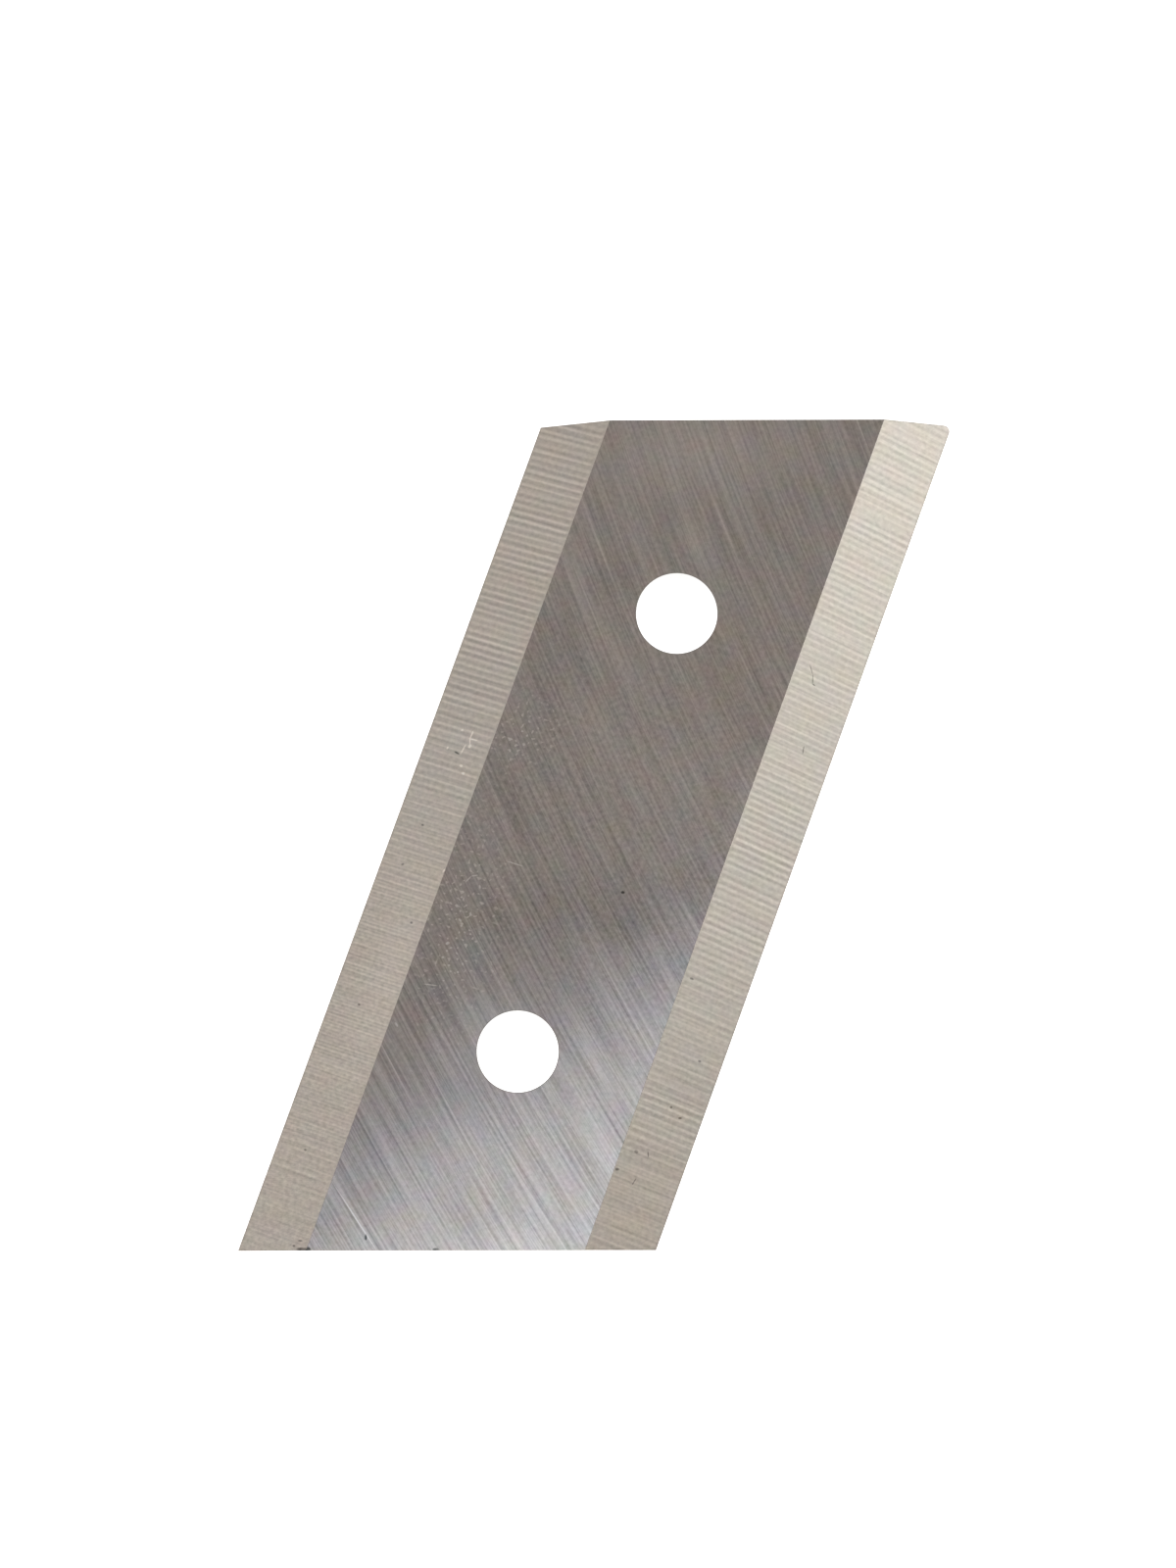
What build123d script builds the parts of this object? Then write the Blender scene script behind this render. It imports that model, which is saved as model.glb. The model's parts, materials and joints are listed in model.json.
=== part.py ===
from build123d import *
import math
import os

# A reversible chipping blade for a garden shredder, made from one flat bar of hardened steel.
# The bar is cut off at a slant, a cutting edge is ground along each long side, both on the same face,
# and two plain holes on the centre line take the bolts that clamp it to the cutting disc.
# Lengths are in millimetres. The origin is the middle of the back face, the cutting edges run along Y,
# and the ground face looks up along Z.

# The bar, cut to length
LENGTH = 94.8  # along a cutting edge, from corner to corner
WIDTH = 42.0  # from one cutting edge to the other, square to them
THICKNESS = 4.5
END_RAKE = 20.0  # degrees by which the ends lean from square

# The ground edges
BEVEL_WIDTH = 7.1  # of each bevel, seen from above
EDGE_LAND = 0.1  # height of the blunt strip that grinding leaves at a cutting edge
WORN_CORNER_RADIUS = 0.6  # of the one sharp corner that use has rounded

# The bolt holes
HOLE_DIAMETER = 8.7
HOLE_SPACING = 50.0  # between the holes, along the cutting edges


def ground_bar():
    """The bar with both edges ground, twice as long as the blade."""
    half_width = WIDTH / 2
    half_flat = half_width - BEVEL_WIDTH
    with BuildPart() as bar:
        with BuildSketch(Plane.XZ):
            Polygon(
                (-half_width, 0),
                (half_width, 0),
                (half_width, EDGE_LAND),
                (half_flat, THICKNESS),
                (-half_flat, THICKNESS),
                (-half_width, EDGE_LAND),
                align=None,
            )
        extrude(amount=LENGTH, both=True)
    return bar.part


def slanted_blank():
    """The blade's outline from above at full thickness, with slanted ends and the worn corner."""
    half_width = WIDTH / 2
    half_length = LENGTH / 2
    lean = half_width * math.tan(math.radians(END_RAKE))
    with BuildPart() as blank:
        with BuildSketch() as outline:
            Polygon(
                (-half_width, -half_length - lean),
                (half_width, -half_length + lean),
                (half_width, half_length + lean),
                (-half_width, half_length - lean),
                align=None,
            )
            worn_corner = outline.vertices().sort_by(Axis.Y)[-1]
            fillet(worn_corner, radius=WORN_CORNER_RADIUS)
        extrude(amount=THICKNESS)
    return blank.part


def bolt_holes():
    """The two through holes, as the material that drilling takes out."""
    with BuildPart() as holes:
        with GridLocations(0, HOLE_SPACING, 1, 2):
            Cylinder(HOLE_DIAMETER / 2, THICKNESS, align=(Align.CENTER, Align.CENTER, Align.MIN))
    return holes.part


def make_blade():
    """The bar cut to the slanted outline and drilled."""
    blade = (ground_bar() & slanted_blank()) - bolt_holes()
    blade.label = "blade"
    return blade


os.makedirs("parts", exist_ok=True)
export_step(make_blade(), "parts/blade.step")
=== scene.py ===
import json
import math

import bpy
import numpy as np
from mathutils import Matrix, Vector


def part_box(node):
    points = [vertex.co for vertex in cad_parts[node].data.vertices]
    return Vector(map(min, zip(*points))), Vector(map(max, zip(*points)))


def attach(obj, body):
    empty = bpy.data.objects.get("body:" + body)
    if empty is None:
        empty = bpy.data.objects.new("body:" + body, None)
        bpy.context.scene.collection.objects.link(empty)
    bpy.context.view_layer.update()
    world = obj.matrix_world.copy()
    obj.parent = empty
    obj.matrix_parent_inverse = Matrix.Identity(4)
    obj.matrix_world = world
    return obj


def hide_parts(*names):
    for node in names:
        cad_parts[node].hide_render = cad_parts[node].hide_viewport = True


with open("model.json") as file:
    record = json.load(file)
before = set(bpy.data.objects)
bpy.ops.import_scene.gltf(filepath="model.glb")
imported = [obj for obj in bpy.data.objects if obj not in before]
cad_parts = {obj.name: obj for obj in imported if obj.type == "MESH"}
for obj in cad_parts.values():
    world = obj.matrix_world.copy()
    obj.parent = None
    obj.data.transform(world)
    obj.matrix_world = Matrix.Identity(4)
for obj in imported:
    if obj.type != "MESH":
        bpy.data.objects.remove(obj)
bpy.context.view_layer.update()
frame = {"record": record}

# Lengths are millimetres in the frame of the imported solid: Y runs along the cutting edges,
# and Z points out of the ground face.
MM = 0.001
TINY = 0.001  # a length too small to matter

# The blade's form, from the solid where it can be read there
low_corner, high_corner = (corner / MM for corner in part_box("blade"))
bores = [mount for mount in frame["record"]["mounts"] if mount["kind"] == "bore"]
END_RAKE = math.radians(20)
LEAN = math.tan(END_RAKE)
HALF_WIDTH = high_corner.x
HALF_LENGTH = -low_corner.y - HALF_WIDTH * LEAN
THICKNESS = high_corner.z
BEVEL_WIDTH = 7.1
EDGE_LAND = 0.1
WORN_CORNER_RADIUS = 0.6
HOLE_RADIUS = bores[0]["dims"]["r_mm"]
HOLE_PLACES = [bore["pos_m"][1] / MM for bore in bores]
FLAT_EDGE = HALF_WIDTH - BEVEL_WIDTH
BEVEL_SLOPE = math.atan2(THICKNESS - EDGE_LAND, BEVEL_WIDTH)

# Small roundings that grinding and handling leave
CORNER_ROUND = 0.06  # where a bevel meets the flat
END_ROUND = 0.05
HOLE_ROUND = 0.08
ROUND_STEPS = 3  # places across a rounding
SHARP_ANGLE = math.radians(5)  # edges that turn more than this stay sharp

# How finely the skin is divided
ROW_STEP = 0.09
SQUARE_ROWS = 0.7  # share of the length where the rows lie square to the cutting edges
END_ROWS = np.array([0.3, 1.0])  # where each end has two more rows, in roundings from the end
FLAT_STEP = 2.0
BEVEL_COLUMNS = 18
CORNER_COLUMNS = np.array([1.4, 0.9, 0.55, 0.25, 0])  # in worn radii from a cutting edge
EDGE_COLUMNS = HALF_WIDTH - WORN_CORNER_RADIUS * CORNER_COLUMNS
HOLE_BLOCK = 6.0  # half the square that is left out of the grid round a hole
HOLE_COLUMNS = HOLE_BLOCK * np.array([-1, -0.5, 0, 0.5, 1])
HOLE_SEGMENTS = 160
HOLE_TURNS = np.arange(HOLE_SEGMENTS) * 2 * np.pi / HOLE_SEGMENTS
BACK_COLUMNS = np.concatenate([-EDGE_COLUMNS[::-1], HOLE_COLUMNS, EDGE_COLUMNS])

# Feed ridges that the grinding wheel left across the bevels. At places along y: the number of
# ridges passed so far, the height shares of the ridges and of finer ones between them, and the
# degrees by which they lean.
LEFT_RIDGES = (
    (-57, -13.4, 0.15, 0.3, 0.4), (-42, 6.9, 0.38, 0.6, 0.4), (-32, 20.4, 0.04, 0.55, 0.2),
    (-22, 34.0, 0.42, 0.6, 0.1), (-10, 50.2, 0.25, 0.45, -0.2), (0, 63.6, 0.72, 0.2, -0.3),
    (14, 82.0, 1.0, 0.2, -1.0), (28, 100.4, 0.95, 0.1, -1.0), (57, 137.2, 0.7, 0.0, -1.0),
)
RIGHT_RIDGES = (
    (-57, -21.0, 0.4, 0.2, -4.0), (-33, 10.0, 0.25, 0.25, -1.0), (-27, 17.7, 0.8, 0.35, -1.0),
    (-15, 33.6, 0.35, 0.2, -1.3), (-8, 42.8, 0.75, 0.15, -1.5), (4, 58.7, 0.95, 0.1, -1.5),
    (18, 77.6, 0.38, 0.3, -1.0), (33, 97.9, 0.65, 0.1, -0.7), (57, 130.3, 0.6, 0.05, -0.7),
)
PLACE, PASSED, SHARE, FINE_SHARE, SKEW = range(5)  # the columns
RIDGE_HEIGHT = 0.006
RIDGE_UNEVEN = 0.15  # share by which single ridges are higher or lower
RIDGE_RISE = 0.04  # share of a bevel's width in which the ridges rise from the flat's side
RIDGE_FADE = 0.05  # share of it in which they fade to the cutting edge

# Grinding scratches on the flat are arcs about a far centre
SCRATCH_CENTRE = (221.0, 229.0)
SCRATCH_RADIUS = math.hypot(*SCRATCH_CENTRE)
SCRATCH_ACROSS = 50.0  # degrees from X to the direction square to the scratches

# Single marks: x and y of the middle, degrees from X, length and width
DARK_ON_FLAT = (
    (-13.9, -52.3, 20, 0.9, 0.55), (-0.99, -47.7, 20, 0.65, 0.4), (-8.4, -48.95, 110, 0.65, 0.26),
    (4.77, -5.24, 20, 0.42, 0.3),
)
LIGHT_ON_FLAT = (
    (-11.22, -9.47, 65, 0.85, 0.14), (-10.74, -8.92, 29, 0.75, 0.14), (-7.15, -6.26, 2, 1.8, 0.13),
    (-11.14, -21.48, 12, 1.5, 0.14), (-10.32, -47.29, 143, 8.4, 0.16), (-11.02, -16.77, 0, 0.3, 0.27),
    (-10.76, -17.48, 0, 0.24, 0.22), (-10.93, -18.27, 0, 0.27, 0.25), (-10.27, -15.87, 0, 0.25, 0.22),
    (-10.57, -13.94, 150, 0.5, 0.22), (-10.22, -14.44, 0, 0.26, 0.22), (-10.02, -18.86, 0, 0.26, 0.22),
    (-11.27, -11.57, 0, 0.24, 0.2), (-9.8, -9.84, 120, 0.4, 0.2), (-8.87, -19.23, 0, 0.25, 0.22),
    (-9.76, -12.9, 100, 0.4, 0.2), (-9.01, -14.96, 0, 0.24, 0.2), (-13.1, -26.7, 140, 0.5, 0.2),
    (-11.8, 5.0, 120, 0.35, 0.2),
)
DARK_ON_BEVELS = (
    (-14.3, -52.45, 20, 1.4, 0.4), (-15.32, -52.43, 0, 0.3, 0.26), (-14.84, -51.68, 20, 0.5, 0.2),
    (-17.18, 3.01, 167, 0.65, 0.2), (-18.01, -5.52, 0, 0.3, 0.22), (-18.6, -10.19, 30, 0.35, 0.25),
    (-15.42, -15.9, 0, 0.3, 0.25), (-17.77, -25.98, 0, 0.3, 0.22), (-17.82, -42.49, 0, 0.3, 0.22),
    (14.21, -33.14, 20, 0.45, 0.3), (15.48, -30.69, 0, 0.46, 0.36), (16.75, -30.5, 115, 0.6, 0.16),
    (17.36, -24.95, 0, 0.3, 0.25), (18.55, -19.26, 0, 0.35, 0.25), (14.79, -11.39, 0, 0.45, 0.25),
    (15.64, 24.29, 128, 1.05, 0.11), (16.11, 23.42, 109, 1.05, 0.11), (16.42, 22.91, 167, 0.4, 0.11),
    (17.73, 15.97, 100, 0.9, 0.13), (18.64, -25.69, 20, 0.4, 0.22), (16.33, -33.75, 78, 0.8, 0.12),
)
LIGHT_ON_BEVELS = (
    (-16.33, 5.35, 86, 0.95, 0.17), (-16.22, 4.52, 111, 0.9, 0.15), (-15.94, 4.9, 2, 1.0, 0.14),
    (-16.67, 3.57, 81, 1.15, 0.17), (-16.09, 4.09, 80, 0.45, 0.3), (-16.25, 1.8, 0, 0.36, 0.3),
    (-15.72, 1.09, 0, 0.36, 0.3), (-18.38, 3.24, 80, 0.35, 0.2), (-17.52, 5.53, 0, 0.3, 0.25),
    (-14.01, -9.54, 75, 0.5, 0.2),
)
MARK_FULL, MARK_GONE = 0.6, 1.3  # a mark fades between these, in half lengths from its middle

# Painted reflections: soft lighter and darker patches, painted into the colour where the steel reflects
# more or less light. As the marks, and the share of light added
PAINTED_REFLECTIONS_ON_FLAT = (
    (-4, 42, 20, 34, 15, 0.16), (1.5, 6.5, 136, 26, 5, 0.13), (7, 8, 20, 20, 18, 0.06),
    (0, -8.5, 30, 42, 13, -0.12), (-10, 14, 95, 36, 9, -0.08), (-3.5, -24.5, 45, 17, 13, 0.26),
    (-11.5, -21.5, 100, 24, 7, -0.1), (-12, -48, 45, 16, 9, -0.12), (-5, 11.5, 140, 20, 6, 0.12),
    (-1.5, 33, 130, 9, 5, 0.12), (13.4, 11, 90, 20, 3, 0.12), (7, -8.5, 40, 9, 7, -0.1),
    (-8, 26, 45, 10, 7, -0.09), (8, -0.5, 45, 9, 7, 0.07), (6.5, -44.5, 20, 24, 7, 0.1),
)
PAINTED_REFLECTIONS_ON_BEVELS = ((-15.5, -22, 90, 34, 9, 0.09),)

# Painted reflection colour: soft warmer and cooler patches, in the hues of the lamps and room that the
# steel reflects there. As the marks, and the shift from blue towards red
REFLECTION_TINTS_ON_FLAT = ((8.5, 21, 100, 20, 14, 0.18), (-6, -21.5, 110, 22, 14, -0.2))
REFLECTION_TINTS_ON_BEVELS = ((17.5, -42, 90, 48, 14, 0.35), (-17.5, 4, 90, 42, 12, -0.22))

# Where the flat is dotted with light specks: as the patches
SPECKED = ((-10.5, -14, 100, 40, 15, 0.6), (-11, 7.5, 60, 16, 11, 0.6))

# Material slots of the skin
FLAT, BEVEL, BACK, END, WALL = range(5)

# The unwrapped skin lies in a square of this side
MAP_SIDE = 113.0
MAP_GAP = 1.2


# The skin of the blade

def section():
    """Places across the ground face, x and z, from one cutting edge over the flat to the other."""
    flat = np.arange(0, FLAT_EDGE - FLAT_STEP / 2, FLAT_STEP)
    turn = np.linspace(0, BEVEL_SLOPE, ROUND_STEPS)
    round_start = FLAT_EDGE - CORNER_ROUND * math.tan(BEVEL_SLOPE / 2)
    round_x = round_start + CORNER_ROUND * np.sin(turn)
    bevel = np.linspace(round_x[-1], EDGE_COLUMNS[0], BEVEL_COLUMNS)[1:-1]
    slope_x = np.concatenate([bevel, EDGE_COLUMNS])
    x = np.concatenate([flat, round_x, slope_x])
    z = np.concatenate([
        np.full(len(flat), THICKNESS),
        THICKNESS - CORNER_ROUND * (1 - np.cos(turn)),
        EDGE_LAND + (HALF_WIDTH - slope_x) * math.tan(BEVEL_SLOPE),
    ])
    return np.concatenate([-x[:0:-1], x]), np.concatenate([z[:0:-1], z])


def row_places():
    """Places along the blade, -1 at one end and 1 at the other, closer together at the ends."""
    count = round(2 * HALF_LENGTH / ROW_STEP)
    ends = 1 - END_ROWS * END_ROUND / HALF_LENGTH
    return np.unique(np.concatenate([np.linspace(-1, 1, count + 1), ends, -ends]))


def along(row, x):
    """The y of a place in a row, which lies square to the edges or, near an end, slants as it does."""
    slant = np.clip((np.abs(row) - SQUARE_ROWS) / (1 - SQUARE_ROWS), 0, 1)
    return row * HALF_LENGTH + x * LEAN * slant


def along_bevels(x, y, column):
    """A column of the ridge tables at places along y, the left bevel's where x is below zero."""
    left, right = np.transpose(LEFT_RIDGES), np.transpose(RIGHT_RIDGES)
    on_left = np.interp(y, left[PLACE], left[column])
    on_right = np.interp(y, right[PLACE], right[column])
    return np.where(x < 0, on_left, on_right)


def feed_distance(x, y):
    """Distance along the grinder's feed: y, drawn askew where the cross marks lean."""
    middle = np.sign(x) * (HALF_WIDTH - BEVEL_WIDTH / 2)
    return y - np.tan(np.radians(along_bevels(x, y, SKEW))) * (x - middle)


def ridge_height(x, y, feed):
    """Height share of the feed ridges, from -1 to 1, which fade out at the borders of the bevels."""
    into = np.clip((np.abs(x) - FLAT_EDGE) / BEVEL_WIDTH, 0, 1)
    borders = np.clip(into / RIDGE_RISE, 0, 1) * np.clip((1 - into) / RIDGE_FADE, 0, 1)
    passed = along_bevels(x, feed, PASSED)
    uneven = 1 - RIDGE_UNEVEN * (1 - np.sin(passed))
    ridges = along_bevels(x, y, SHARE) * np.cos(2 * np.pi * passed)
    fine_ridges = along_bevels(x, y, FINE_SHARE) * np.cos(4 * np.pi * passed)
    return borders * uneven * (ridges + fine_ridges)


def round_worn_corner(x, y):
    """Draws the sharp corner at +X and +Y in to its worn radius, in place."""
    middle_x = HALF_WIDTH - WORN_CORNER_RADIUS
    middle_y = HALF_LENGTH + middle_x * LEAN - WORN_CORNER_RADIUS / math.cos(END_RAKE)
    out_x, out_y = x - middle_x, y - middle_y
    far = np.maximum(np.hypot(out_x, out_y), TINY)
    past_end = out_y * math.cos(END_RAKE) - out_x * math.sin(END_RAKE)
    in_corner = (out_y > 0) & (out_x * math.cos(END_RAKE) + out_y * math.sin(END_RAKE) > 0)
    shrink = np.where(in_corner, np.maximum(out_x, past_end) / far, 1.0)
    x[:] = middle_x + out_x * shrink
    y[:] = middle_y + out_y * shrink


class Skin:
    """Collects the corners and faces of a closed mesh, with each face's slot and places in the map."""

    def __init__(self):
        self.corners, self.faces, self.slots, self.places = [], [], [], []

    def add_corners(self, points):
        """Adds points, and gives their numbers."""
        first = len(self.corners)
        self.corners.extend(map(tuple, points))
        return first + np.arange(len(points))

    def add_face(self, corners, slot, places):
        """Adds a face from the numbers of its corners, with a place in the map for each."""
        self.faces.append([int(corner) for corner in corners])
        self.slots.append(slot)
        self.places.extend(places)

    def add_placed(self, corners, slot, place):
        """Adds a face whose places in the map follow from its points, by the function place."""
        self.add_face(corners, slot, [place(self.corners[corner]) for corner in corners])


def unrolled(x, z):
    """Distance across the ground face along its own surface, from the middle."""
    past = max(abs(x) - FLAT_EDGE, 0)
    land = max(EDGE_LAND - z, 0)
    return math.copysign(min(abs(x), FLAT_EDGE) + past / math.cos(BEVEL_SLOPE) + land, x)


# Where each part of the skin lies in the map
FRONT_HALF = unrolled(HALF_WIDTH, 0)
MAP_MIDDLE = HALF_LENGTH + HALF_WIDTH * LEAN + MAP_GAP
BACK_LEFT = 2 * FRONT_HALF + 2 * MAP_GAP
CUT_LEFT = BACK_LEFT + 2 * HALF_WIDTH + MAP_GAP
WALL_BOTTOM = 2 * MAP_GAP + 2 * HALF_WIDTH / math.cos(END_RAKE)


def front_place(point):
    """The place in the map of a point on the ground face or on a land."""
    return MAP_GAP + FRONT_HALF + unrolled(point[0], point[2]), MAP_MIDDLE + point[1]


def back_place(point):
    """The place in the map of a point on the back."""
    return BACK_LEFT + HALF_WIDTH - point[0], MAP_MIDDLE + point[1]


def end_place(point, number):
    """The place in the map of a point on an end."""
    from_edge = (point[0] + HALF_WIDTH) / math.cos(END_RAKE)
    return CUT_LEFT + number * (THICKNESS + MAP_GAP) + point[2], MAP_GAP + from_edge


def wall_place(segment, z, number):
    """The place in the map of a point on a hole's wall."""
    far = segment * 2 * math.pi * HOLE_RADIUS / HOLE_SEGMENTS
    return CUT_LEFT + number * (THICKNESS + MAP_GAP) + z, WALL_BOTTOM + far


def in_gap(row, column, gap):
    """Whether a square of a grid lies in the gap that is left for a hole."""
    (first_row, last_row), (first, last) = gap
    return first_row <= row < last_row and first <= column < last


def add_grid(skin, grid, gaps, slots, place, upwards):
    """Faces of a grid of corners, apart from the gaps round the holes."""
    for row in range(grid.shape[0] - 1):
        near, far = grid[row], grid[row + 1]
        for column in range(grid.shape[1] - 1):
            if any(in_gap(row, column, gap) for gap in gaps):
                continue
            face = [near[column], near[column + 1], far[column + 1], far[column]]
            skin.add_placed(face if upwards else face[::-1], slots[column], place)


def add_land(skin, top, back, left):
    """The blunt strip at a cutting edge, between the ground face and the back."""
    for row in range(len(top) - 1):
        face = [top[row], top[row + 1], back[row + 1], back[row]]
        skin.add_placed(face if left else face[::-1], BEVEL, front_place)


def add_end(skin, top, back, number):
    """An end, below the ground face's last row: one wide face, with narrow ones at the two corners."""
    def place(point):
        return end_place(point, number)

    last = len(EDGE_COLUMNS) - 1
    faces = [np.concatenate([back[last:-last], top[last:-last][::-1]])]
    for step in range(last):
        for near, far in ((step, step + 1), (-step - 2, -step - 1)):
            faces.append([back[near], back[far], top[far], top[near]])
    for face in faces:
        skin.add_placed(face if number == 0 else face[::-1], END, place)


def gap_loop(grid, gap):
    """The grid corners round the gap for a hole, counter-clockwise from above."""
    (first_row, last_row), (first, last) = gap
    return np.concatenate([
        grid[first_row, first:last],
        grid[first_row:last_row, last],
        grid[last_row, last:first:-1],
        grid[last_row:first_row:-1, first],
    ])


def turn_order(skin, loop, hole_y):
    """A loop round a hole in the order of its turns, with the turn of each corner."""
    points = np.array([skin.corners[corner] for corner in loop])
    turns = np.arctan2(points[:, 1] - hole_y, points[:, 0]) % (2 * np.pi)
    order = np.argsort(turns)
    return loop[order], turns[order]


def zip_loops(inner, inner_turns, outer, outer_turns):
    """Triangles between two rings of corners, both given in turn order over one full turn."""
    last_in, last_out = len(inner), len(outer)
    inner, outer = np.append(inner, inner[0]), np.append(outer, outer[0])
    inner_turns = np.append(inner_turns, inner_turns[0] + 2 * np.pi)
    outer_turns = np.append(outer_turns, outer_turns[0] + 2 * np.pi)
    step_in, step_out = 0, 0
    while step_in < last_in or step_out < last_out:
        if step_out == last_out:
            inner_next = True
        elif step_in == last_in:
            inner_next = False
        else:
            inner_next = inner_turns[step_in + 1] < outer_turns[step_out + 1]
        if inner_next:
            yield inner[step_in], outer[step_out], inner[step_in + 1]
            step_in += 1
        else:
            yield inner[step_in], outer[step_out], outer[step_out + 1]
            step_out += 1


def hole_rings(skin, hole_y):
    """Rings of corners down a hole, with rounded rims, and the height of each ring."""
    bend = np.linspace(0, math.pi / 2, ROUND_STEPS)
    rim_out = HOLE_ROUND * (1 - np.sin(bend))
    rim_down = HOLE_ROUND * (1 - np.cos(bend))
    radii = HOLE_RADIUS + np.concatenate([rim_out, rim_out[::-1]])
    heights = np.concatenate([THICKNESS - rim_down, rim_down[::-1]])
    rings = []
    for radius, z in zip(radii, heights):
        x, y = radius * np.cos(HOLE_TURNS), hole_y + radius * np.sin(HOLE_TURNS)
        rings.append(skin.add_corners(np.stack([x, y, np.full(HOLE_SEGMENTS, z)], -1)))
    return rings, heights


def add_hole(skin, number, hole_y, top_loop, back_loop):
    """A hole's wall, joined to the ground face and to the back."""
    rings, heights = hole_rings(skin, hole_y)
    for upper, lower, z_up, z_low in zip(rings, rings[1:], heights, heights[1:]):
        for segment in range(HOLE_SEGMENTS):
            after = (segment + 1) % HOLE_SEGMENTS
            face = [upper[segment], upper[after], lower[after], lower[segment]]
            sides = [(segment, z_up), (segment + 1, z_up), (segment + 1, z_low), (segment, z_low)]
            skin.add_face(face, WALL, [wall_place(step, z, number) for step, z in sides])
    for face in zip_loops(rings[0], HOLE_TURNS, *turn_order(skin, top_loop, hole_y)):
        skin.add_placed(face, FLAT, front_place)
    for face in zip_loops(rings[-1], HOLE_TURNS, *turn_order(skin, back_loop, hole_y)):
        skin.add_placed(face[::-1], BACK, back_place)


def ground_face(skin, rows):
    """Corners of the ground face, row by row, with the feed ridges raised and the ends rounded."""
    x, z = section()
    grid_x = np.tile(x, (len(rows), 1))
    grid_y = along(rows[:, None], x)
    round_worn_corner(grid_x, grid_y)
    lift = ridge_height(grid_x, grid_y, feed_distance(grid_x, grid_y)) * RIDGE_HEIGHT / 2
    to_end = np.clip(1 - (1 - np.abs(rows)) * HALF_LENGTH / END_ROUND, 0, 1)
    end_drop = 1 - END_ROUND / THICKNESS * (1 - np.sqrt(1 - to_end ** 2))
    grid_z = np.interp(grid_x, x, z) * end_drop[:, None] + lift * math.cos(BEVEL_SLOPE)
    grid_x = grid_x + lift * np.sign(x) * math.sin(BEVEL_SLOPE)
    points = np.stack([grid_x, grid_y, grid_z], -1).reshape(-1, 3)
    return skin.add_corners(points).reshape(grid_x.shape), x


def back_face(skin, rows):
    """Corners of the plain back, row by row."""
    grid_x = np.tile(BACK_COLUMNS, (len(rows), 1))
    grid_y = along(rows[:, None], grid_x)
    round_worn_corner(grid_x, grid_y)
    points = np.stack([grid_x, grid_y, np.zeros_like(grid_x)], -1).reshape(-1, 3)
    return skin.add_corners(points).reshape(grid_x.shape), BACK_COLUMNS


def hole_gap(rows, x, hole_y):
    """The rows and the columns of a grid between which a hole lies."""
    in_rows = np.searchsorted(rows * HALF_LENGTH, (hole_y - HOLE_BLOCK, hole_y + HOLE_BLOCK))
    in_columns = np.searchsorted(x, (-HOLE_BLOCK - TINY, HOLE_BLOCK - TINY))
    return in_rows, in_columns


def blade_skin():
    """The whole skin: ground face, back, lands, ends and holes."""
    skin = Skin()
    rows = row_places()
    top, top_x = ground_face(skin, rows)
    back, back_x = back_face(skin, rows)
    top_gaps = [hole_gap(rows, top_x, hole_y) for hole_y in HOLE_PLACES]
    back_gaps = [hole_gap(rows, back_x, hole_y) for hole_y in HOLE_PLACES]
    on_flat = np.maximum(np.abs(top_x[1:]), np.abs(top_x[:-1])) < FLAT_EDGE
    add_grid(skin, top, top_gaps, np.where(on_flat, FLAT, BEVEL), front_place, upwards=True)
    add_grid(skin, back, back_gaps, [BACK] * len(back_x), back_place, upwards=False)
    add_land(skin, top[:, 0], back[:, 0], left=True)
    add_land(skin, top[:, -1], back[:, -1], left=False)
    add_end(skin, top[0], back[0], 0)
    add_end(skin, top[-1], back[-1], 1)
    for number, (hole_y, top_gap, back_gap) in enumerate(zip(HOLE_PLACES, top_gaps, back_gaps)):
        add_hole(skin, number, hole_y, gap_loop(top, top_gap), gap_loop(back, back_gap))
    return skin


def add_values(mesh, name, values):
    """Keeps a value for each corner of the mesh, for its materials."""
    mesh.attributes.new(name, "FLOAT", "POINT").data.foreach_set("value", values.astype(np.float32))


def put_in_scene(name, data):
    """A new object made from the data, in the scene."""
    made = bpy.data.objects.new(name, data)
    bpy.context.scene.collection.objects.link(made)
    return made


def make_blade(materials):
    """The blade's mesh in metres, with its map, its materials and the values that they read."""
    skin = blade_skin()
    corners = np.array(skin.corners)
    mesh = bpy.data.meshes.new("shredder_blade")
    mesh.from_pydata((corners * MM).tolist(), [], skin.faces)
    mesh.uv_layers.new(name="OFBake").uv.foreach_set("vector", np.array(skin.places).ravel() / MAP_SIDE)
    for material in materials:
        mesh.materials.append(material)
    mesh.polygons.foreach_set("material_index", np.array(skin.slots, np.int32))
    x, y = corners[:, 0], corners[:, 1]
    feed = feed_distance(x, y)
    add_values(mesh, "feed", feed)
    # The ridge heights, which the bevel material paints as the ridges' light and shade
    add_values(mesh, "ridge", ridge_height(x, y, feed))
    mesh.shade_smooth()
    mesh.set_sharp_from_angle(angle=SHARP_ANGLE)
    return put_in_scene("shredder_blade", mesh)


# Materials

FLAT_COLOUR = (0.645, 0.62, 0.6)
BEVEL_COLOUR = (0.65, 0.615, 0.57)
CUT_COLOUR = (0.42, 0.4, 0.375)
WALL_COLOUR = (0.46, 0.45, 0.43)
CUT_ROUGHNESS = 0.42
WALL_ROUGHNESS = 0.15

# Faint mottling of the colours: the size of its spots, and the most by which they shift
WARM_SPOTS, GREEN_SPOTS = 3.0, 2.2
WARM_SHIFT, GREEN_SHIFT = 0.18, 0.12

# Sizes of the grain and of the light specks
GRAIN_SIZE = 0.45
SPECK_SIZE = 0.4

# Spans of a noise's values, which lie about a half, that make lines or specks
FINE_LINES = (0.35, 0.65)
BRIGHT_LINES = (0.68, 0.85)
DARK_LINES = (0.7, 0.87)
SPECKS = (0.645, 0.75)

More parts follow.
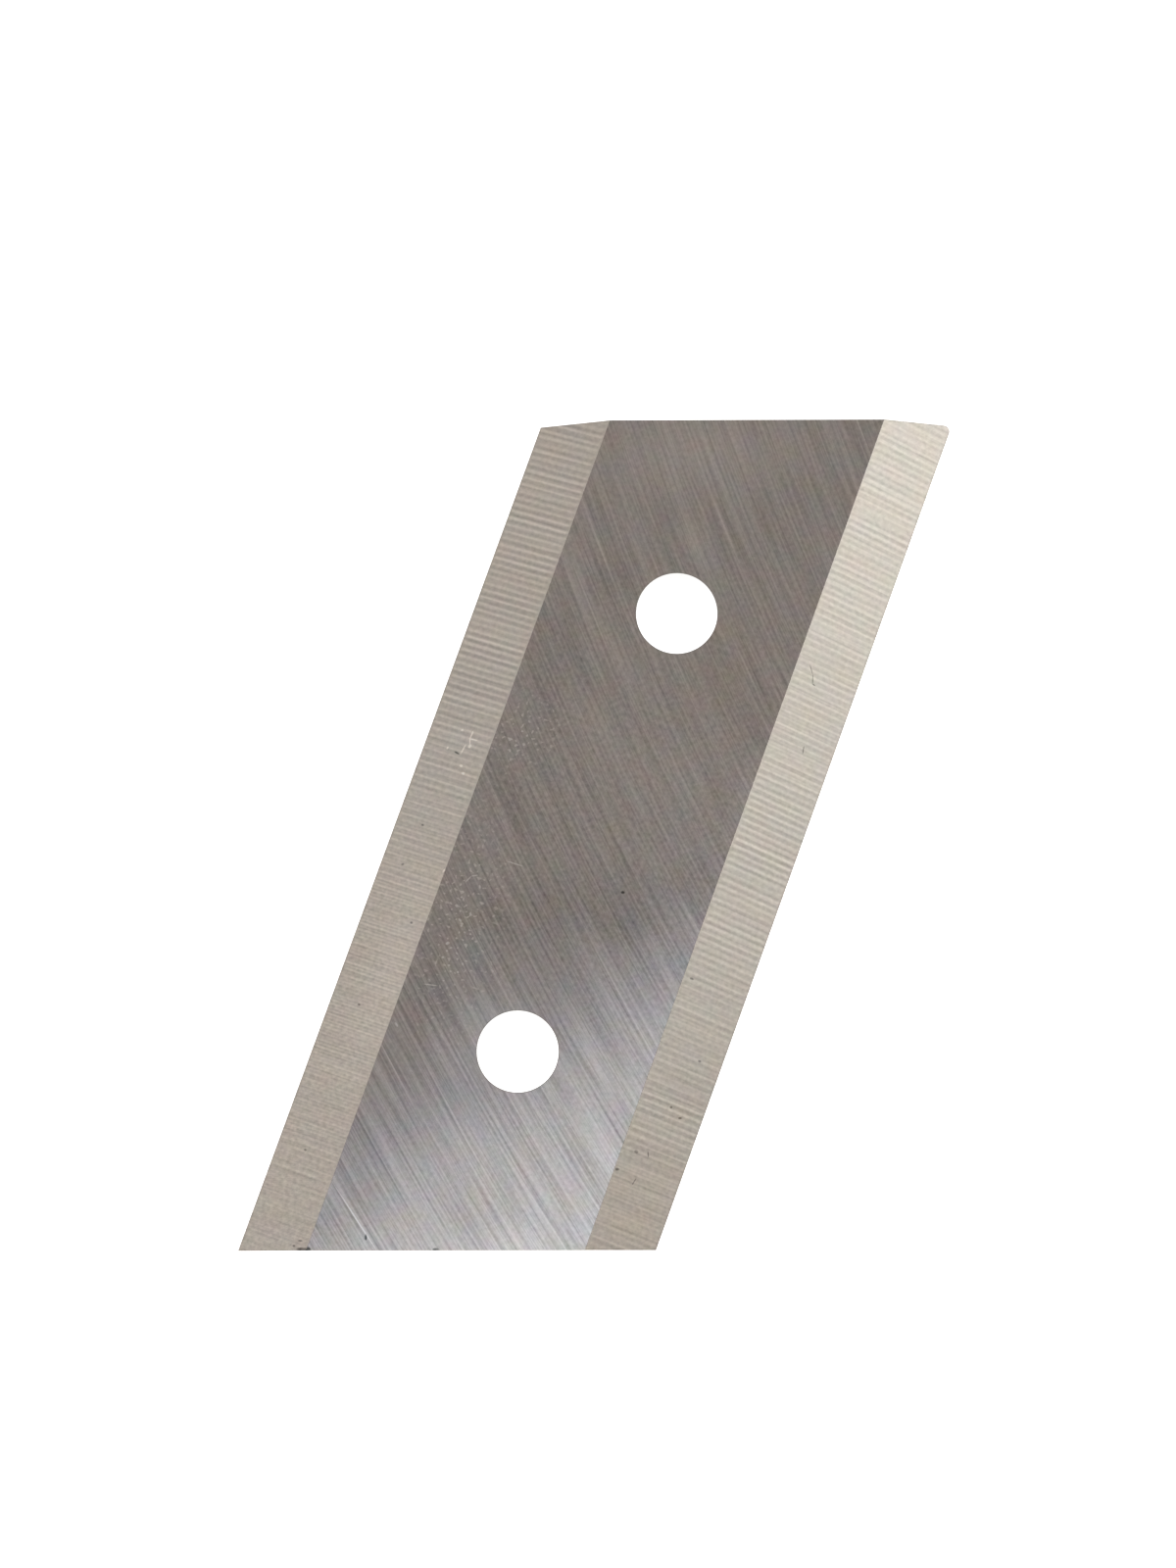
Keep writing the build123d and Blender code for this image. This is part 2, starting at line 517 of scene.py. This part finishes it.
# Places between which the look of a face changes: along y towards an end, and along x to the left
FLAT_TO_LOW_END = (2, -32)
FLAT_TO_HIGH_END = (5, 40)
BEVELS_TO_LOW_END = (20, -30)
BEVELS_TO_LEFT = (1, -1)

DARK_RIM = (-0.25, -0.05)  # distances past the outline, between which the bevels' dark rim sets in
ALL_THROUGH = 1000.0  # half the depth of a mark, so large that its height makes no difference


class Steel:
    """A ground steel material, and short ways to wire its nodes. Values are sockets or numbers."""

    def __init__(self, name, anisotropic, turn):
        self.material = bpy.data.materials.new(name)
        self.material.use_nodes = True
        self.tree = self.material.node_tree
        self.shader = self.tree.nodes["Principled BSDF"]
        self.shader.inputs["Metallic"].default_value = 1.0
        self.shader.inputs["Anisotropic"].default_value = anisotropic
        self.shader.inputs["Anisotropic Rotation"].default_value = turn / 360
        tangent = self.node("ShaderNodeTangent", direction_type="UV_MAP", uv_map="OFBake")
        self.wire(tangent.outputs[0], self.shader.inputs["Tangent"])
        in_mm = self.node("ShaderNodeVectorMath", operation="SCALE")
        self.wire(self.node("ShaderNodeTexCoord").outputs["Object"], in_mm.inputs[0])
        self.wire(1 / MM, in_mm.inputs["Scale"])
        split = self.node("ShaderNodeSeparateXYZ")
        self.wire(in_mm.outputs[0], split.inputs[0])
        self.place = in_mm.outputs[0]
        self.x, self.y, self.z = split.outputs

    def node(self, kind, **settings):
        """A new node of a kind, with its settings."""
        made = self.tree.nodes.new(kind)
        for name, value in settings.items():
            setattr(made, name, value)
        return made

    def wire(self, value, socket):
        """Gives a value to a socket."""
        if isinstance(value, bpy.types.NodeSocket):
            self.tree.links.new(value, socket)
        else:
            socket.default_value = value

    def math(self, operation, *values):
        """The result of an operation on values."""
        made = self.node("ShaderNodeMath", operation=operation)
        for value, socket in zip(values, made.inputs):
            self.wire(value, socket)
        return made.outputs[0]

    def value_of(self, name):
        """A value that the mesh keeps for each corner."""
        return self.node("ShaderNodeAttribute", attribute_name=name).outputs["Fac"]

    def ramp(self, value, start, end):
        """0 at start, 1 at end, smooth between."""
        made = self.node("ShaderNodeMapRange", interpolation_type="SMOOTHSTEP")
        for given, socket in zip((value, start, end, 0.0, 1.0), made.inputs):
            self.wire(given, socket)
        return made.outputs[0]

    def noise(self, u, v, length, width, seed, detail=2.0):
        """Uneven streaks from 0 to 1 about a half, of some length along u and some width along v."""
        joined = self.node("ShaderNodeCombineXYZ")
        self.wire(self.math("DIVIDE", u, length), joined.inputs[0])
        self.wire(self.math("DIVIDE", v, width), joined.inputs[1])
        self.wire(seed, joined.inputs[2])
        made = self.node("ShaderNodeTexNoise")
        self.wire(joined.outputs[0], made.inputs["Vector"])
        self.wire(1.0, made.inputs["Scale"])
        self.wire(detail, made.inputs["Detail"])
        return made.outputs[0]

    def lines(self, u, v, length, width, seed, detail, span):
        """As the noise, with the span of its values drawn out to run from 0 to 1."""
        return self.ramp(self.noise(u, v, length, width, seed, detail), *span)

    def spots(self, size, seed, detail=2.0):
        """Uneven spots from 0 to 1 about a half."""
        return self.noise(self.x, self.y, size, size, seed, detail)

    def plus(self, total, *parts):
        """The total plus each value times its weight."""
        for value, weight in parts:
            total = self.math("MULTIPLY_ADD", value, weight, total)
        return total

    def weighed(self, start, *parts):
        """The start plus each value's distance from a half, times its weight."""
        total = start
        for value, weight in parts:
            total = self.plus(total, (self.math("SUBTRACT", value, 0.5), weight))
        return total

    def away(self, x, y, turn, length, width):
        """Distance from the middle of an ellipse, 1 at its rim."""
        shape = self.node("ShaderNodeMapping", vector_type="TEXTURE")
        self.wire(self.place, shape.inputs["Vector"])
        shape.inputs["Location"].default_value = (x, y, 0)
        shape.inputs["Rotation"].default_value = (0, 0, math.radians(turn))
        shape.inputs["Scale"].default_value = (length / 2, width / 2, ALL_THROUGH)
        away = self.node("ShaderNodeVectorMath", operation="LENGTH")
        self.wire(shape.outputs[0], away.inputs[0])
        return away.outputs["Value"]

    def marks(self, shapes):
        """1 on any of the single marks, 0 elsewhere."""
        total = 0.0
        for shape in shapes:
            total = self.math("MAXIMUM", total, self.ramp(self.away(*shape), MARK_GONE, MARK_FULL))
        return total

    def patched(self, value, patches):
        """The value with soft patches added, each strongest in its middle."""
        for *shape, share in patches:
            value = self.plus(value, (self.ramp(self.away(*shape), 1.0, 0.0), share))
        return value

    def colour(self, base, strength, mottling, reflection_tints=()):
        """Base colour times strength, mottled with faint shifts from blue to red and towards green,
        with any painted reflection tints added to the shift from blue to red.
        """
        # The given tints paint the hue of reflected light into the colour
        warm = self.patched(self.spots(WARM_SPOTS, seed=20), reflection_tints)
        green = self.spots(GREEN_SPOTS, seed=21)
        to_red, to_green = WARM_SHIFT * mottling, GREEN_SHIFT * mottling
        red_share = self.weighed(strength, (warm, to_red), (green, -to_green))
        green_share = self.weighed(strength, (green, to_green))
        blue_share = self.weighed(strength, (warm, -to_red), (green, -to_green))
        joined = self.node("ShaderNodeCombineXYZ")
        for level, share, socket in zip(base, (red_share, green_share, blue_share), joined.inputs):
            self.wire(self.math("MULTIPLY", share, level), socket)
        limit = self.node("ShaderNodeVectorMath", operation="MINIMUM")
        self.wire(joined.outputs[0], limit.inputs[0])
        self.wire((1.0, 1.0, 1.0), limit.inputs[1])
        self.wire(limit.outputs[0], self.shader.inputs["Base Color"])

    def roughness(self, value):
        """How dull the steel is."""
        self.wire(value, self.shader.inputs["Roughness"])

    def bump(self, height, depth):
        """Relief from a height of 0 to 1, depth millimetres deep."""
        made = self.node("ShaderNodeBump")
        self.wire(1.0, made.inputs["Strength"])
        self.wire(depth * MM, made.inputs["Distance"])
        self.wire(height, made.inputs["Height"])
        self.wire(made.outputs[0], self.shader.inputs["Normal"])


def arc_place(steel):
    """Distances along and across the grinding scratches of the flat."""
    out_x = steel.math("SUBTRACT", steel.x, SCRATCH_CENTRE[0])
    out_y = steel.math("SUBTRACT", steel.y, SCRATCH_CENTRE[1])
    turn = steel.math("ARCTAN2", out_y, out_x)
    far_squared = steel.plus(steel.math("MULTIPLY", out_y, out_y), (out_x, out_x))
    return steel.math("MULTIPLY", turn, SCRATCH_RADIUS), steel.math("SQRT", far_squared)


def flat_steel(name, dark_marks=(), light_marks=(), patches=(), reflection_tints=(), specked=()):
    """Surface-ground steel: long fine scratches over broad faint bands, with a fine grain."""
    steel = Steel(name, anisotropic=1.0, turn=SCRATCH_ACROSS)
    run, across = arc_place(steel)
    bands = steel.noise(run, across, length=80, width=2.5, seed=1)
    streaks = steel.noise(run, across, length=18, width=0.9, seed=2)
    lines = steel.lines(run, across, length=20, width=0.4, seed=3, detail=1, span=FINE_LINES)
    hairs = steel.lines(run, across, length=9, width=0.23, seed=4, detail=1, span=FINE_LINES)
    bright = steel.lines(run, across, length=20, width=0.38, seed=8, detail=0, span=BRIGHT_LINES)
    dark = steel.lines(run, across, length=18, width=0.4, seed=9, detail=0, span=DARK_LINES)
    grain = steel.spots(GRAIN_SIZE, seed=5)
    specks = steel.ramp(steel.spots(SPECK_SIZE, seed=10, detail=0), *SPECKS)

    # Towards the ends the grain gets fainter, and towards the low one the lines get clearer
    low = steel.ramp(steel.y, *FLAT_TO_LOW_END)
    high = steel.ramp(steel.y, *FLAT_TO_HIGH_END)
    lined = steel.plus(0.12, (low, 0.08))
    haired = steel.plus(0.19, (low, 0.05))
    grained = steel.plus(0.76, (high, -0.25), (low, -0.28))
    strength = steel.weighed(1.0, (bands, 0.3), (streaks, 0.2), (lines, lined), (hairs, haired))
    strength = steel.weighed(strength, (grain, grained))
    # The patches paint reflected light and shade into the flat's colour
    strength = steel.patched(strength, patches)
    speckled = steel.patched(0.0, specked)
    strength = steel.plus(strength, (bright, 0.22), (dark, -0.15), (specks, speckled))
    strength = steel.plus(strength, (steel.marks(light_marks), 0.65), (steel.marks(dark_marks), -0.75))
    # The tints paint the hues of reflected light into the flat's colour
    steel.colour(FLAT_COLOUR, strength, mottling=1.0, reflection_tints=reflection_tints)
    steel.roughness(steel.weighed(0.18, (streaks, 0.04), (lines, 0.02)))
    steel.bump(steel.weighed(0.5, (streaks, 0.4), (lines, 0.3), (hairs, 0.15)), depth=0.002)
    return steel.material


def rim(steel):
    """0 inside the outline, rising to 1 in the last quarter of a millimetre before it."""
    along_ends = steel.plus(steel.y, (steel.x, -LEAN))
    past_end = steel.math("SUBTRACT", steel.math("ABSOLUTE", along_ends), HALF_LENGTH)
    past_edge = steel.math("SUBTRACT", steel.math("ABSOLUTE", steel.x), HALF_WIDTH)
    return steel.ramp(steel.math("MAXIMUM", past_end, past_edge), *DARK_RIM)


def bevel_steel(name):
    """Ground bevels: cross marks square to the cutting edge, over the feed ridges of the mesh, with the
    ridges' light and shade also painted into the colour.
    """
    steel = Steel(name, anisotropic=0.8, turn=90)
    feed = steel.value_of("feed")
    cuts = steel.noise(steel.x, feed, length=30, width=0.45, seed=1, detail=1)
    lines = steel.noise(steel.x, feed, length=12, width=0.28, seed=2, detail=1)
    grain = steel.spots(GRAIN_SIZE, seed=3)
    left = steel.ramp(steel.x, *BEVELS_TO_LEFT)
    low = steel.ramp(steel.y, *BEVELS_TO_LOW_END)
    grained = steel.plus(0.42, (low, steel.plus(0.12, (left, 0.14))))
    strength = steel.weighed(1.0, (cuts, 0.1), (lines, 0.4), (grain, grained))
    # A painted reflection: a soft lighter patch on the left bevel
    strength = steel.patched(strength, PAINTED_REFLECTIONS_ON_BEVELS)
    # Painted light and shade of the feed ridges: the colour is lighter on their crests and darker in
    # their troughs
    strength = steel.plus(strength, (steel.value_of("ridge"), 0.2), (rim(steel), -0.12))
    light_marks, dark_marks = steel.marks(LIGHT_ON_BEVELS), steel.marks(DARK_ON_BEVELS)
    strength = steel.plus(strength, (light_marks, 0.5), (dark_marks, -0.55))
    # The tints paint the hues of reflected light into the bevels' colour
    steel.colour(BEVEL_COLOUR, strength, mottling=0.5, reflection_tints=REFLECTION_TINTS_ON_BEVELS)
    steel.roughness(steel.weighed(0.36, (cuts, 0.08), (lines, 0.06)))
    steel.bump(steel.weighed(0.5, (cuts, 0.6), (lines, 0.4)), depth=0.003)
    return steel.material


def cut_steel(name, base, roughness):
    """Ends and hole walls: plain cut steel with faint lines down the thickness."""
    steel = Steel(name, anisotropic=0.2, turn=0)
    around = steel.math("ADD", steel.x, steel.y)
    lines = steel.noise(steel.z, around, length=2.5, width=0.25, seed=1)
    steel.colour(base, steel.weighed(1.0, (lines, 0.3)), mottling=0.5)
    steel.roughness(steel.weighed(roughness, (lines, 0.1)))
    steel.bump(lines, depth=0.004)
    return steel.material


# Floor, light and camera

WHITE = (1.0, 1.0, 1.0, 1.0)
TABLE_HALF = 2500  # half of its side
TABLE_COLOUR = (0.8, 0.8, 0.8, 1.0)
TABLE_GLOW = 1.3
ROOM_COLOUR = (1.0, 0.91, 0.85, 1.0)
ROOM_STRENGTH = 0.33

# The panel overhead, in strips: name, x and y of the middle, width, radiance and colour
PANEL_STRIPS = (
    ("panel_glow", (-14.4, 11.6), 13, 0.16, (0.27, 0.5, 1.0)),
    ("panel_rim", (1.9, -1.6), 31, 0.45, (0.86, 0.92, 1.0)),
    ("panel", (30.3, -24.5), 42, 0.66, (0.82, 0.9, 1.0)),
)
PANEL_HEIGHT = 700
PANEL_LENGTH = 1000
PANEL_EDGE = (0.629, 0.777, 0)  # the direction of its long edge

# Soft boxes low beside the blade: name, place, size along y and upwards, radiance and colour
SIDE_BOXES = (
    ("right", (420, 225, 210), (300, 220), 1.5, (0.99, 1.0, 0.95)),
    ("left", (-550, -140, 280), (740, 300), 0.36, (1.0, 0.96, 0.9)),
)
ALONG_Y = (0, 1, 0)

# The camera's place and aim, and how far the picture's up lies from Y towards -X
CAMERA_PLACE = (19.3, -43.01, 509.273)
CAMERA_AIM = (-2.694, 4.445, 4.5)
PICTURE_TURN = math.radians(19.902)
SENSOR = 36.0
LENS = 108.89


def make_floor():
    """A plain white light table."""
    half = TABLE_HALF * MM
    corners = [(-half, -half, 0), (half, -half, 0), (half, half, 0), (-half, half, 0)]
    mesh = bpy.data.meshes.new("table")
    mesh.from_pydata(corners, [], [(0, 1, 2, 3)])
    material = bpy.data.materials.new("white_table")
    material.use_nodes = True
    shader = material.node_tree.nodes["Principled BSDF"]
    shader.inputs["Base Color"].default_value = TABLE_COLOUR
    shader.inputs["Roughness"].default_value = 0.9
    shader.inputs["Specular IOR Level"].default_value = 0.0
    shader.inputs["Emission Color"].default_value = WHITE
    shader.inputs["Emission Strength"].default_value = TABLE_GLOW
    mesh.materials.append(material)
    floor = put_in_scene("table", mesh)


def make_world():
    """A dim warm room, white where the camera looks past the table."""
    world = bpy.data.worlds.new("studio")
    world.use_nodes = True
    tree = world.node_tree
    room = tree.nodes["Background"]
    room.inputs["Color"].default_value = ROOM_COLOUR
    room.inputs["Strength"].default_value = ROOM_STRENGTH
    plain = tree.nodes.new("ShaderNodeBackground")
    plain.inputs["Color"].default_value = WHITE
    path = tree.nodes.new("ShaderNodeLightPath")
    mix = tree.nodes.new("ShaderNodeMixShader")
    tree.links.new(path.outputs["Is Camera Ray"], mix.inputs[0])
    tree.links.new(room.outputs[0], mix.inputs[1])
    tree.links.new(plain.outputs[0], mix.inputs[2])
    tree.links.new(mix.outputs[0], tree.nodes["World Output"].inputs["Surface"])
    bpy.context.scene.world = world


def facing(place, aim, across):
    """The transform of a lamp or camera at place that looks at aim, with its X side along across."""
    back = (Vector(place) - Vector(aim)).normalized()
    side = (Vector(across) - back * back.dot(Vector(across))).normalized()
    turn = Matrix((side, back.cross(side), back)).transposed()
    return Matrix.Translation(Vector(place) * MM) @ turn.to_4x4()


def soft_box(name, place, aim, across, size, radiance, colour):
    """A rectangular lamp at place, facing aim, with its first side along across."""
    data = bpy.data.lights.new(name, "AREA")
    data.shape = "RECTANGLE"
    data.size, data.size_y = size[0] * MM, size[1] * MM
    data.energy = radiance * math.pi * data.size * data.size_y
    data.color = colour
    put_in_scene(name, data).matrix_world = facing(place, aim, across)


def make_lights():
    """A panel overhead, dimmer along one side, and a soft box low to each side of the blade."""
    for name, (x, y), width, radiance, colour in PANEL_STRIPS:
        size = (PANEL_LENGTH, width)
        soft_box(name, (x, y, PANEL_HEIGHT), (x, y, 0), PANEL_EDGE, size, radiance, colour)
    for name, place, size, radiance, colour in SIDE_BOXES:
        soft_box(name, place, (0, place[1], 0), ALONG_Y, size, radiance, colour)


def make_camera():
    """The camera, looking almost straight down."""
    data = bpy.data.cameras.new("camera")
    data.sensor_fit = "VERTICAL"
    data.sensor_width = SENSOR
    data.sensor_height = SENSOR
    data.lens = LENS
    picture_up = Vector((-math.sin(PICTURE_TURN), math.cos(PICTURE_TURN), 0))
    across = picture_up.cross(Vector(CAMERA_PLACE) - Vector(CAMERA_AIM))
    camera = put_in_scene("camera", data)
    camera.matrix_world = facing(CAMERA_PLACE, CAMERA_AIM, across)
    bpy.context.scene.camera = camera


def show_plainly():
    """Colours leave the render as they are lit, with no film look."""
    view = bpy.context.scene.view_settings
    view.view_transform = "Standard"
    view.look = "None"


make_camera()
make_world()
make_lights()
make_floor()
show_plainly()

# The materials come in the order of the skin's slots
blade = make_blade([
    # The flat's lighter and darker patches are painted reflections, and its tints are painted
    # reflection colour
    flat_steel("ground_flat", DARK_ON_FLAT, LIGHT_ON_FLAT, PAINTED_REFLECTIONS_ON_FLAT, REFLECTION_TINTS_ON_FLAT, SPECKED),
    bevel_steel("ground_bevel"),
    flat_steel("ground_back"),
    cut_steel("cut_end", CUT_COLOUR, CUT_ROUGHNESS),
    cut_steel("hole_wall", WALL_COLOUR, WALL_ROUGHNESS),
])
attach(blade, "root")
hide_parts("blade")
